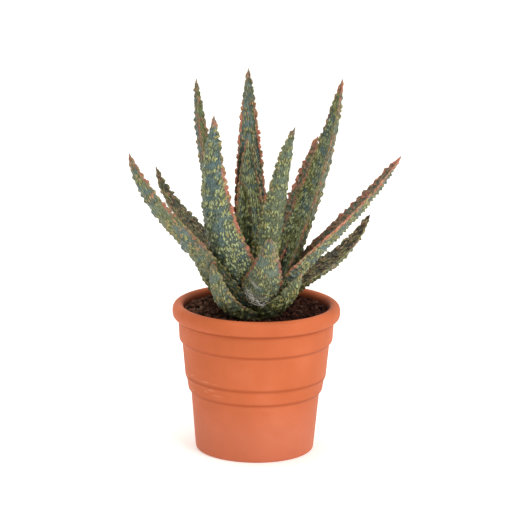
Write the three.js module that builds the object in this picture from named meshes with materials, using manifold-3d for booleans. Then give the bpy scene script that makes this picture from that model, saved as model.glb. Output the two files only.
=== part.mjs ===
// A potted aloe: a short stem with nineteen toothed leaves, standing in soil in a clay pot.
// Millimetres and degrees, +Z up. The origin is the middle of the pot's flat underside.
// Headings are counted from +X towards +Y, so 270 points at the viewer of a front view.
import * as THREE from 'three';
import { mergeVertices } from 'three/addons/utils/BufferGeometryUtils.js';
import Module from 'manifold-3d';

const wasm = await Module();
wasm.setup();

// ---- Driving dimensions ----

const GAP = 0.3;                // clear space between pieces that touch
const LEAF_GAP = 0.7;           // the same between leaves, whose faces are curved
const POT_SIDES = 44;           // flats round the pot and the soil
const POT_HEIGHT = 120.2;
const RIM_RADIUS = 67.6;        // widest point of the rolled rim
const BASE_RADIUS = 47.8;
const FLOOR_THICKNESS = 5;
const DRAIN_HOLES = 4;
const DRAIN_RADIUS = 4;
const DRAIN_CIRCLE = 22;        // distance of the drain holes from the middle
// The pot's inner face as [radius, height], from the floor up to just under the soil line.
const INNER_WALL = [[43.2, FLOOR_THICKNESS], [46.4, 46], [58.2, 110]];

const SOIL_EDGE = 114;          // soil level against the wall
const SOIL_DISH = 5;            // how much lower it lies round the plant
const SOIL_CRUMB = 0.9;         // height of its lumps
const SOIL_RINGS = 8;           // circles of points that shape its surface

const PLANT = { x: -1.5, y: -7 };   // where the stem stands in the pot
const STEM_RADIUS = 12.5;
const STEM_FOOT = 70;               // the stem's buried end
const STEM_SHOULDER = 153;          // where it starts to narrow to its growing tip
const STEM_TOP = 164;
const STEM_SIDES = 20;
const SCARS_FROM = 96;              // height of the lowest old leaf scar
const SCAR_STEP = 9;
const SCAR_DEPTH = 0.9;

const BASE_FLARE = 38;          // extra lean where a leaf leaves the stem
const BASE_PINCH = 0.4;         // share of its width that a leaf loses there
const SWELL = 0.35;             // fullness of a leaf's outline towards the tip
const CHANNEL = 0.13;           // depth of the channel on the upper face, per width
const CLASP = 0.16;             // extra depth where the leaf clasps the stem
const RING_STEP = 10;           // mean spacing of a leaf's cross-sections
const RING_CROWDING = 1.25;     // how much closer they stand near its foot
const FOOT_STEP = 2.4;          // spacing of the first ones and of the margin's points there
const COLUMNS = [-0.62, 0, 0.62];   // lengthwise lines on each face, from margin -1 to margin 1
const TOOTH_PITCH = 7.4;
const TOOTH_HEIGHT = 1.9;
// A blunt tooth's outline as [share of its pitch, share of its height]. The next heel ends it.
const TOOTH_OUTLINE = [[0, 0], [0.14, 0.7], [0.5, 1], [0.84, 0.8]];
const TEETH_FROM = 16;          // the first tooth's distance from the foot
const TEETH_SEED = 301;

// One line for each leaf, outermost first. heading: where it points. reach and foot: where its
// middle line starts, out from the stem's axis and up from the ground. lean: its angle from
// upright at the foot, at each third and at the tip. turn: change of heading on the way.
// taper: how fast it narrows. roll: its turn about its own length at the foot and at the tip.
const LEAVES = [
  { name: 'leaf_short_left', heading: 231, reach: 6.1, foot: 120.2, length: 71, lean: [45, 60, 32, 26],
    turn: 2, width: 35.5, taper: 0.89, roll: [-14, -7], thick: 0.18 },
  { name: 'leaf_short_right', heading: 317, reach: 6.1, foot: 119, length: 59, lean: [40, 56, 41, 34],
    turn: 0, width: 30.6, taper: 0.8, roll: [0, 2], thick: 0.18 },
  { name: 'leaf_low_left', heading: 178, reach: 6, foot: 119.5, length: 63, lean: [36, 50, 36, 42],
    turn: 0, width: 24.8, taper: 0.81, roll: [0, 0], thick: 0.18 },
  { name: 'leaf_low_front', heading: 282, reach: 6, foot: 131.4, length: 86, lean: [28, 55, 35, 43],
    turn: -4, width: 36.3, taper: 0.85, roll: [-12, -14], thick: 0.24 },
  { name: 'leaf_low_right', heading: 20, reach: 5.8, foot: 121, length: 117, lean: [36, 64, 54, 29],
    turn: 6, width: 28.4, taper: 0.73, roll: [0, 9], thick: 0.18 },
  { name: 'leaf_back_low', heading: 90, reach: 6, foot: 121, length: 112, lean: [40, 58, 56, 40],
    turn: 0, width: 28, taper: 0.85, roll: [0, 0], thick: 0.18 },
  { name: 'leaf_far_left', heading: 210, reach: 5.9, foot: 126, length: 172, lean: [35, 44, 43, 16],
    turn: 8, width: 32.5, taper: 0.74, roll: [-9, 16], thick: 0.2 },
  { name: 'leaf_far_right', heading: -8, reach: 6.4, foot: 126, length: 161, lean: [23, 44, 43, 38],
    turn: 5, width: 33.3, taper: 0.72, roll: [-5, 16], thick: 0.2 },
  { name: 'leaf_back_left', heading: 144, reach: 6, foot: 126, length: 137, lean: [37, 48, 51, 13],
    turn: -2, width: 30.8, taper: 0.9, roll: [0, -1], thick: 0.2 },
  { name: 'leaf_back_middle', heading: 115, reach: 6, foot: 126, length: 108, lean: [30, 50, 46, 30],
    turn: 0, width: 28, taper: 0.85, roll: [0, 0], thick: 0.2 },
  { name: 'leaf_back_right', heading: 64, reach: 6, foot: 128, length: 110, lean: [30, 48, 46, 30],
    turn: 0, width: 27, taper: 0.85, roll: [0, 0], thick: 0.2 },
  { name: 'leaf_front_left', heading: 221, reach: 3, foot: 151.7, length: 142, lean: [50, 22, 6, -4],
    turn: 0, width: 52.2, taper: 0.91, roll: [-3, -1], thick: 0.17 },
  { name: 'leaf_tall_right', heading: 14, reach: 6.2, foot: 133.9, length: 180, lean: [24, 22, 17.8, 13.3],
    turn: 10, width: 34.5, taper: 0.74, roll: [12, 1], thick: 0.25 },
  { name: 'leaf_tall_left', heading: 162, reach: 4.9, foot: 138, length: 170, lean: [11, 19, 13, 6],
    turn: 0, width: 33.6, taper: 0.77, roll: [3, 0], thick: 0.2 },
  { name: 'leaf_behind_right', heading: 50, reach: 6.3, foot: 140, length: 129, lean: [32, 32.5, 29.5, 29],
    turn: -1, width: 23, taper: 0.71, roll: [-8, -9.5], thick: 0.2 },
  { name: 'leaf_front_right', heading: 303, reach: 4.9, foot: 144, length: 139, lean: [12, 16, 18, 32],
    turn: 2, width: 26.5, taper: 0.83, roll: [2, -4], thick: 0.2 },
  { name: 'leaf_tall_back', heading: 101, reach: 4, foot: 146, length: 165, lean: [15, 13, 9, 4],
    turn: 1, width: 31, taper: 0.89, roll: [-1, 0], thick: 0.2 },
  { name: 'leaf_inner_back', heading: 105, reach: 2.1, foot: 150, length: 105, lean: [8, 17, 9, 4],
    turn: 2, width: 29.3, taper: 0.86, roll: [-1, -2], thick: 0.2 },
  { name: 'leaf_inner_bud', heading: 201, reach: 0.9, foot: 152, length: 73, lean: [7, -1, 4, 32],
    turn: 1, width: 16, taper: 0.88, roll: [0, 5], thick: 0.25 },
];

// ---- Materials ----

function matte(color, roughness) {
  return new THREE.MeshStandardMaterial({ color, roughness, metalness: 0 });
}

const CLAY = matte(0xd2714a, 0.75);
const EARTH = matte(0x3a2823, 0.95);
const SHEATH = matte(0x6f7a45, 0.7);
const LEAF_GREEN = matte(0x5c7355, 0.6);

// ---- Small helpers ----

// A repeatable draw of numbers from 0 to 1.
function drawFrom(seed) {
  let state = seed;
  return () => {
    state = (state * 1103515245 + 12345) % 2147483648;
    return state / 2147483648;
  };
}

function closedSolid(geometry) {
  const bare = geometry.clone();
  bare.deleteAttribute('normal');
  bare.deleteAttribute('uv');
  const merged = mergeVertices(bare, 1e-4);
  return new wasm.Manifold(new wasm.Mesh({
    numProp: 3,
    vertProperties: new Float32Array(merged.attributes.position.array),
    triVerts: new Uint32Array(merged.index.array),
  }));
}

function solidGeometry(solid) {
  const { vertProperties, triVerts } = solid.getMesh();
  const geometry = new THREE.BufferGeometry();
  geometry.setAttribute('position', new THREE.BufferAttribute(Float32Array.from(vertProperties), 3));
  geometry.setIndex(new THREE.BufferAttribute(Uint32Array.from(triVerts), 1));
  geometry.computeVertexNormals();
  return geometry;
}

// The biggest body of a cut solid. Scraps that a cut leaves loose are dropped.
function largestBody(solid) {
  return solid.decompose().reduce((best, body) => (body.volume() > best.volume() ? body : best));
}

// A solid of revolution about +Z from a closed or axis-to-axis profile of [radius, height].
function turned(profile, sides) {
  const points = profile.map(([radius, height]) => new THREE.Vector2(radius, height));
  return new THREE.LatheGeometry(points, sides).rotateX(Math.PI / 2);
}

// ---- Pot ----

// Rolled rim, plain upper band, tapered wall, narrow ring and lower wall, all stepping inwards.
function potProfile() {
  const base = [[0, 0], [BASE_RADIUS - 1.6, 0], [BASE_RADIUS - 0.4, 0.7], [BASE_RADIUS, 2.2]];
  const lowerWall = [[51.8, 46.4], [53.4, 49], [54.2, 49.8]];
  const narrowRing = [[54.9, 54.6], [55.6, 59], [56.8, 60.6]];
  const wall = [[59.2, 87.2], [60, 88.8], [61.7, 90.6]];
  const band = [[62.6, 105.6], [62.5, 107.8]];
  const rim = [[65.6, 108.1], [67.1, 109.9], [RIM_RADIUS, 113], [67.4, 116], [66.3, 118.4],
    [64.3, 119.8], [62, POT_HEIGHT], [60, 119.4], [58.8, 117.4], [58.5, 114]];
  const inside = [...INNER_WALL].reverse();
  return [...base, ...lowerWall, ...narrowRing, ...wall, ...band, ...rim, ...inside,
    [0, FLOOR_THICKNESS]];
}

function makePot() {
  let pot = closedSolid(turned(potProfile(), POT_SIDES));
  for (let i = 0; i < DRAIN_HOLES; i += 1) {
    const angle = (i + 0.5) * 2 * Math.PI / DRAIN_HOLES;
    const hole = new THREE.CylinderGeometry(DRAIN_RADIUS, DRAIN_RADIUS, 3 * FLOOR_THICKNESS, 12);
    hole.rotateX(Math.PI / 2);
    hole.translate(DRAIN_CIRCLE * Math.cos(angle), DRAIN_CIRCLE * Math.sin(angle), FLOOR_THICKNESS / 2);
    pot = pot.subtract(closedSolid(hole));
  }
  return pot;
}

// ---- Soil ----

// Height of the crumbly surface: a shallow dish with lumps that fade out against the wall.
function soilHeight(x, y) {
  const out = Math.min(1, Math.hypot(x, y) / INNER_WALL[2][0]);
  const lumps = Math.cos(0.31 * x + 0.8) * Math.cos(0.27 * y - 1.9)
    + 0.6 * Math.sin(0.53 * x - 0.41 * y) + 0.5 * Math.cos(0.37 * x + 0.62 * y);
  return SOIL_EDGE - SOIL_DISH * (1 - out * out) + 0.5 * SOIL_CRUMB * lumps * (1 - out ** 4);
}

function makeSoil(stemHole) {
  const wall = INNER_WALL.map(([radius, height]) => [radius - GAP - 0.05, height]);
  wall[0][1] += GAP;
  const edge = wall[2][0];
  const surface = Array.from({ length: SOIL_RINGS }, (_, i) => [edge * (1 - i / SOIL_RINGS), SOIL_EDGE]);
  const geometry = turned([[0, wall[0][1]], ...wall, ...surface, [0, SOIL_EDGE]], POT_SIDES);
  const position = geometry.attributes.position;
  for (let i = 0; i < position.count; i += 1) {
    if (position.getZ(i) === SOIL_EDGE) {
      position.setZ(i, soilHeight(position.getX(i), position.getY(i)));
    }
  }
  return closedSolid(geometry).subtract(stemHole);
}

// ---- Stem ----

// The stem keeps the old leaf scars as low rings. grow makes the same stem a little fatter.
function makeStem(grow) {
  const foot = STEM_FOOT - grow;
  const profile = [[0, foot], [0.8 * STEM_RADIUS + grow, foot]];
  for (let height = SCARS_FROM; height < STEM_SHOULDER - SCAR_STEP; height += SCAR_STEP) {
    profile.push([STEM_RADIUS - SCAR_DEPTH + grow, height]);
    profile.push([STEM_RADIUS + grow, height + 0.7 * SCAR_STEP]);
  }
  const middle = (STEM_SHOULDER + STEM_TOP) / 2;
  profile.push([0.76 * STEM_RADIUS + grow, STEM_SHOULDER], [0.35 * STEM_RADIUS + grow, middle]);
  profile.push([0, STEM_TOP + grow]);
  const geometry = turned(profile, STEM_SIDES);
  geometry.translate(PLANT.x, PLANT.y, 0);
  return closedSolid(geometry);
}

// ---- Leaves ----

const radians = THREE.MathUtils.degToRad;

// The curve through four values at 0, 1/3, 2/3 and 1.
function throughThirds([a, b, c, d], t) {
  const s = 3 * t;
  return -a * (s - 1) * (s - 2) * (s - 3) / 6 + b * s * (s - 2) * (s - 3) / 2
    - c * s * (s - 1) * (s - 3) / 2 + d * s * (s - 1) * (s - 2) / 6;
}

// Directions at a distance along the leaf: along it, across it and out of its upper face.
function leafAxes(leaf, along) {
  const t = along / leaf.length;
  const lean = radians(throughThirds(leaf.lean, t) + BASE_FLARE * Math.exp(-along / 8));
  const heading = radians(leaf.heading + leaf.turn * t);
  const roll = radians(leaf.roll[0] + (leaf.roll[1] - leaf.roll[0]) * t);
  const out = new THREE.Vector3(Math.cos(heading), Math.sin(heading), 0);
  const up = new THREE.Vector3(0, 0, 1);
  const tangent = out.clone().multiplyScalar(Math.sin(lean)).addScaledVector(up, Math.cos(lean));
  const level = new THREE.Vector3(-Math.sin(heading), Math.cos(heading), 0);
  const face = up.clone().multiplyScalar(Math.sin(lean)).addScaledVector(out, -Math.cos(lean));
  const across = level.clone().multiplyScalar(Math.cos(roll)).addScaledVector(face, Math.sin(roll));
  const upper = face.multiplyScalar(Math.cos(roll)).addScaledVector(level, -Math.sin(roll));
  return { tangent, across, upper };
}

// Points of the leaf's middle line, a millimetre or so apart.
function leafSpine(leaf) {
  const steps = Math.round(leaf.length);
  const step = leaf.length / steps;
  const heading = radians(leaf.heading);
  const point = new THREE.Vector3(
    PLANT.x + leaf.reach * Math.cos(heading), PLANT.y + leaf.reach * Math.sin(heading), leaf.foot);
  const spine = [point.clone()];
  for (let i = 0; i < steps; i += 1) {
    point.addScaledVector(leafAxes(leaf, (i + 0.5) * step).tangent, step);
    spine.push(point.clone());
  }
  return spine;
}

function spinePoint(leaf, spine, along) {
  const place = Math.min(along / leaf.length, 1) * (spine.length - 1);
  const before = Math.min(Math.floor(place), spine.length - 2);
  return spine[before].clone().lerp(spine[before + 1], place - before);
}

// Width, channel depth and thickness of the leaf at a distance along it.
function leafSection(leaf, along) {
  const t = along / leaf.length;
  const outline = (1 - t) ** leaf.taper * (1 + SWELL * t);
  const width = leaf.width * outline * (1 - BASE_PINCH * Math.exp(-along / 7));
  const channel = width * (CHANNEL + CLASP * Math.exp(-along / 20));
  const thickness = width * leaf.thick * (1 + 0.6 * t);
  return { width, channel, thickness };
}

// A point of the leaf's surface. u runs from margin -1 to margin 1; lower picks the outer face.
function surfacePoint(leaf, spine, along, u, lower, grow) {
  const { across, upper } = leafAxes(leaf, along);
  const { width, channel, thickness } = leafSection(leaf, along);
  const hollow = 1 - u * u;
  const depth = channel * hollow + (lower ? thickness * hollow ** 0.8 + grow : -grow);
  return spinePoint(leaf, spine, along)
    .addScaledVector(across, u * (width / 2 + grow))
    .addScaledVector(upper, -depth);
}

// The outline of one margin: distances along the leaf, each with its height out of the margin.
// The teeth are blunt lobes of uneven length, lower towards the tip.
function toothedMargin(leaf, draw) {
  const outline = [];
  let heel = TEETH_FROM * (0.8 + 0.4 * draw());
  for (let along = 0; along < heel - 1; along += FOOT_STEP) outline.push({ along, height: 0 });
  while (heel < leaf.length - TOOTH_PITCH) {
    const pitch = TOOTH_PITCH * (0.6 + 0.8 * draw());
    const fade = Math.min(1, 0.5 + 2 * (1 - heel / leaf.length));
    const height = TOOTH_HEIGHT * (0.6 + 0.6 * draw()) * fade;
    for (const [share, rise] of TOOTH_OUTLINE) {
      outline.push({ along: Math.min(heel + share * pitch, leaf.length - 1), height: rise * height });
    }
    heel += pitch;
  }
  return outline;
}

// A point that stands out from the margin by a height, square to the margin's own line, and is
// then lifted along the normal of the upper face.
function marginPoint(leaf, spine, { along, height }, side, lift) {
  const { across, upper } = leafAxes(leaf, along);
  const { width, channel } = leafSection(leaf, along);
  const outward = across.multiplyScalar(side).addScaledVector(upper, 4 * channel / width);
  const root = surfacePoint(leaf, spine, along, side, false, 0);
  const line = surfacePoint(leaf, spine, along + 1, side, false, 0).sub(root).normalize();
  outward.addScaledVector(line, -outward.dot(line)).normalize();
  return root.addScaledVector(outward, height).addScaledVector(upper, lift);
}

// A plain margin that keeps clear of the longest teeth.
function clearMargin(leaf, grow) {
  const outline = [];
  let along = 0;
  while (along < leaf.length - 1) {
    outline.push({ along, height: 1.2 * TOOTH_HEIGHT + grow });
    along += along < TEETH_FROM ? FOOT_STEP : TOOTH_PITCH;
  }
  return outline;
}

// Lengthwise lines of vertices, from margin to margin over the lower and over the upper face.
// A leaf made fatter has a blunt margin, so its lower and upper margin lines lie apart.
function leafLines(leaf, spine, grow, addVertex) {
  const draw = drawFrom(TEETH_SEED + Math.round(leaf.length * 7 + leaf.heading));
  const end = spine[spine.length - 1].clone();
  const tip = { along: leaf.length, id: addVertex(
    end.addScaledVector(leafAxes(leaf, leaf.length).tangent, grow)) };
  const rings = Math.round(leaf.length / RING_STEP);
  const stops = Array.from({ length: rings }, (_, i) => leaf.length * (i / rings) ** RING_CROWDING);
  stops.splice(1, 0, FOOT_STEP);
  const column = (u, lower) => stops.map((along) => (
    { along, id: addVertex(surfacePoint(leaf, spine, along, u, lower, grow)) })).concat(tip);
  const margin = (side, outline, lift) => outline.map((stop) => (
    { along: stop.along, id: addVertex(marginPoint(leaf, spine, stop, side, lift)) })).concat(tip);
  const outlines = [-1, 1].map(() => (grow > 0 ? clearMargin(leaf, grow) : toothedMargin(leaf, draw)));
  const left = margin(-1, outlines[0], -grow);
  const right = margin(1, outlines[1], -grow);
  return {
    lower: [left, ...COLUMNS.map((u) => column(u, true)), right],
    upper: [
      grow > 0 ? margin(-1, outlines[0], grow) : left,
      ...COLUMNS.map((u) => column(u, false)),
      grow > 0 ? margin(1, outlines[1], grow) : right],
  };
}

// Triangles between two lengthwise lines, stepping along whichever lags behind. Where the lines
// share a point, the flat triangle is left out.
function joinLines(a, b, triangles) {
  const add = (...corners) => {
    if (new Set(corners).size === 3) triangles.push(...corners);
  };
  let i = 0;
  let j = 0;
  while (i < a.length - 1 || j < b.length - 1) {
    const stepA = j === b.length - 1 || (i < a.length - 1 && a[i + 1].along <= b[j + 1].along);
    if (stepA) {
      add(a[i].id, b[j].id, a[i + 1].id);
      i += 1;
    } else {
      add(a[i].id, b[j].id, b[j + 1].id);
      j += 1;
    }
  }
}

// The flat foot of the leaf, between the first points of its lower and its upper lines.
function closeFoot(lower, upper, triangles) {
  for (let k = 0; k < lower.length - 1; k += 1) {
    const [l0, l1] = [lower[k][0].id, lower[k + 1][0].id];
    const [u0, u1] = [upper[k][0].id, upper[k + 1][0].id];
    if (l0 !== u0) triangles.push(l0, u0, l1);
    if (l1 !== u1) triangles.push(u0, u1, l1);
  }
}

// The whole leaf as one closed solid. grow makes the same leaf a little fatter all round.
function makeLeaf(leaf, grow) {
  const positions = [];
  const addVertex = ({ x, y, z }) => positions.push(x, y, z) / 3 - 1;
  const { lower, upper } = leafLines(leaf, leafSpine(leaf), grow, addVertex);
  const round = [...lower, ...upper.slice().reverse(), lower[0]];
  const triangles = [];
  for (let k = 0; k < round.length - 1; k += 1) joinLines(round[k], round[k + 1], triangles);
  closeFoot(lower, upper, triangles);
  const geometry = new THREE.BufferGeometry();
  geometry.setAttribute('position', new THREE.Float32BufferAttribute(positions, 3));
  geometry.setIndex(triangles);
  return closedSolid(geometry);
}

// ---- Assembly ----

const plant = new THREE.Group();

function addPiece(name, solid, material) {
  const mesh = new THREE.Mesh(solidGeometry(solid), material.clone());
  mesh.name = name;
  plant.add(mesh);
}

addPiece('pot', makePot(), CLAY);
addPiece('soil', makeSoil(makeStem(GAP)), EARTH);
addPiece('stem', makeStem(0), SHEATH);

// Each leaf is cut clear of the stem and of the leaves outside it, which clasp its foot.
let taken = makeStem(GAP);
for (const leaf of LEAVES) {
  addPiece(leaf.name, largestBody(makeLeaf(leaf, 0).subtract(taken)), LEAF_GREEN);
  taken = taken.add(makeLeaf(leaf, LEAF_GAP));
}

export default plant;
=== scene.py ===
"""The looks of the potted aloe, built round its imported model.

Shapes are worked out in millimetres in the part's own frame (+Z up, origin under the middle of the
pot, heading 270 towards the viewer) and become metres when a mesh is made.
"""

import math
from itertools import product
from types import SimpleNamespace

import bpy
import numpy as np
from mathutils import Matrix, Vector, noise


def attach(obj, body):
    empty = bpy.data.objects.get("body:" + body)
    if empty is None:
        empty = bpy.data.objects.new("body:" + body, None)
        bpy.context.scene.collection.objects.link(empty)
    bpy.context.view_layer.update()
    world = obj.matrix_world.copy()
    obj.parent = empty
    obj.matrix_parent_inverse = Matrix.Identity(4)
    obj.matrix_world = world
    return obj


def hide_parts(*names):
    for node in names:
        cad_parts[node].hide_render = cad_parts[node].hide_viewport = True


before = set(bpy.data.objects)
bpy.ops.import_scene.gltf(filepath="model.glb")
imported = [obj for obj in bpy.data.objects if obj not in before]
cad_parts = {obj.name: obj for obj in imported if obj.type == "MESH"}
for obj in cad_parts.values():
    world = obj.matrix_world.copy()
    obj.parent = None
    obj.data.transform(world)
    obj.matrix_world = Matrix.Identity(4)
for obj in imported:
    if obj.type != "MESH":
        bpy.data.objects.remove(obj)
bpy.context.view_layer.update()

# ---- Sizes shared with the part's source ----

PLANT = (-1.5, -7.0)        # the stem's axis
STEM_RADIUS = 12.5
STEM_FOOT, STEM_SHOULDER, STEM_TOP = 70, 153, 164
SCARS_FROM, SCAR_STEP, SCAR_DEPTH = 96, 9, 0.9

BASE_FLARE = 38             # extra lean where a leaf leaves the stem
BASE_PINCH = 0.4            # share of its width that a leaf loses there
SWELL = 0.35                # fullness of a leaf's outline towards the tip
CHANNEL, CLASP = 0.13, 0.16
TOOTH_PITCH, TOOTH_HEIGHT = 7.4, 1.9
TEETH_FROM, TEETH_SEED = 16, 301

POT_HEIGHT, RIM_RADIUS, BASE_RADIUS = 120.2, 67.6, 47.8
FLOOR_THICKNESS = 5
DRAIN_HOLES, DRAIN_RADIUS, DRAIN_CIRCLE = 4, 4, 22
SOIL_EDGE, SOIL_DISH, SOIL_RADIUS = 114, 5, 57.8

# ---- Sizes that only the looks need ----

GRAIN = 0.5                 # spacing of a leaf's points
EDGE = 0.42                 # half the thickness of a leaf's horny margin
KNOB = 1.3                  # height of the blunt knobs all over a leaf
KNOB_LENGTH, KNOB_WIDTH = 0.85, 1.0     # scale of the waves that make the knobs
SINK = 0.9                  # how far the skin between them lies below the part's smooth faces
SINK_SHARE = 0.15           # the same at most, as a share of the leaf's thickness
TIP_LEFT = 0.5              # the last ring's distance from the tip
TIP_PALE, TIP_CORAL = 0.91, 0.97        # shares of the length between which a tip turns coral
CORAL_PATCH = 4.5           # scale of the patches of coral along a margin
ROWS_APART, SPOTS_APART = (2.2, 3.2), (1.15, 1.8)       # least and most
# A raised spot's half length, half width, and least and most height.
STREAK, WART = (1.6, 0.44, (0.25, 0.45)), (1.5, 0.62, (0.6, 1.15))
LEAF_SLICES, SLICE_APART = 40, 20.0     # slices of one noise, so that no two leaves look alike

POT_SIDES, STEM_SIDES = 168, 72
SOIL_SIDES, SOIL_RINGS = 260, 76
CRUMBS, FLAT_CRUMBS, PALE_CRUMBS = 1500, 6, 17      # how many, and each which one is flat or pale
GREY_SIDE = -12             # left of this x the soil's crumbs are bigger, and paler by painted light
SOIL_SEED, POT_SEED, STEM_SEED, FILM_SEED, FIBRE_SEED = 11, 5, 8, 77, 23

# Each leaf repeats its line in the part's source.
LEAVES = [
    dict(name="leaf_short_left", heading=231, reach=6.1, foot=120.2, length=71, lean=(45, 60, 32, 26),
         turn=2, width=35.5, taper=0.89, roll=(-14, -7), thick=0.18),
    dict(name="leaf_short_right", heading=317, reach=6.1, foot=119, length=59, lean=(40, 56, 41, 34),
         turn=0, width=30.6, taper=0.8, roll=(0, 2), thick=0.18),
    dict(name="leaf_low_left", heading=178, reach=6, foot=119.5, length=63, lean=(36, 50, 36, 42),
         turn=0, width=24.8, taper=0.81, roll=(0, 0), thick=0.18),
    dict(name="leaf_low_front", heading=282, reach=6, foot=131.4, length=86, lean=(28, 55, 35, 43),
         turn=-4, width=36.3, taper=0.85, roll=(-12, -14), thick=0.24),
    dict(name="leaf_low_right", heading=20, reach=5.8, foot=121, length=117, lean=(36, 64, 54, 29),
         turn=6, width=28.4, taper=0.73, roll=(0, 9), thick=0.18),
    dict(name="leaf_back_low", heading=90, reach=6, foot=121, length=112, lean=(40, 58, 56, 40),
         turn=0, width=28, taper=0.85, roll=(0, 0), thick=0.18),
    dict(name="leaf_far_left", heading=210, reach=5.9, foot=126, length=172, lean=(35, 44, 43, 16),
         turn=8, width=32.5, taper=0.74, roll=(-9, 16), thick=0.2),
    dict(name="leaf_far_right", heading=-8, reach=6.4, foot=126, length=161, lean=(23, 44, 43, 38),
         turn=5, width=33.3, taper=0.72, roll=(-5, 16), thick=0.2),
    dict(name="leaf_back_left", heading=144, reach=6, foot=126, length=137, lean=(37, 48, 51, 13),
         turn=-2, width=30.8, taper=0.9, roll=(0, -1), thick=0.2),
    dict(name="leaf_back_middle", heading=115, reach=6, foot=126, length=108, lean=(30, 50, 46, 30),
         turn=0, width=28, taper=0.85, roll=(0, 0), thick=0.2),
    dict(name="leaf_back_right", heading=64, reach=6, foot=128, length=110, lean=(30, 48, 46, 30),
         turn=0, width=27, taper=0.85, roll=(0, 0), thick=0.2),
    dict(name="leaf_front_left", heading=221, reach=3, foot=151.7, length=142, lean=(50, 22, 6, -4),
         turn=0, width=52.2, taper=0.91, roll=(-3, -1), thick=0.17),
    dict(name="leaf_tall_right", heading=14, reach=6.2, foot=133.9, length=180, lean=(24, 22, 17.8, 13.3),
         turn=10, width=34.5, taper=0.74, roll=(12, 1), thick=0.25),
    dict(name="leaf_tall_left", heading=162, reach=4.9, foot=138, length=170, lean=(11, 19, 13, 6),
         turn=0, width=33.6, taper=0.77, roll=(3, 0), thick=0.2),
    dict(name="leaf_behind_right", heading=50, reach=6.3, foot=140, length=129, lean=(32, 32.5, 29.5, 29),
         turn=-1, width=23, taper=0.71, roll=(-8, -9.5), thick=0.2),
    dict(name="leaf_front_right", heading=303, reach=4.9, foot=144, length=139, lean=(12, 16, 18, 32),
         turn=2, width=26.5, taper=0.83, roll=(2, -4), thick=0.2),
    dict(name="leaf_tall_back", heading=101, reach=4, foot=146, length=165, lean=(15, 13, 9, 4),
         turn=1, width=31, taper=0.89, roll=(-1, 0), thick=0.2),
    dict(name="leaf_inner_back", heading=105, reach=2.1, foot=150, length=105, lean=(8, 17, 9, 4),
         turn=2, width=29.3, taper=0.86, roll=(-1, -2), thick=0.2),
    dict(name="leaf_inner_bud", heading=201, reach=0.9, foot=152, length=73, lean=(7, -1, 4, 32),
         turn=1, width=16, taper=0.88, roll=(0, 5), thick=0.25),
]

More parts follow.
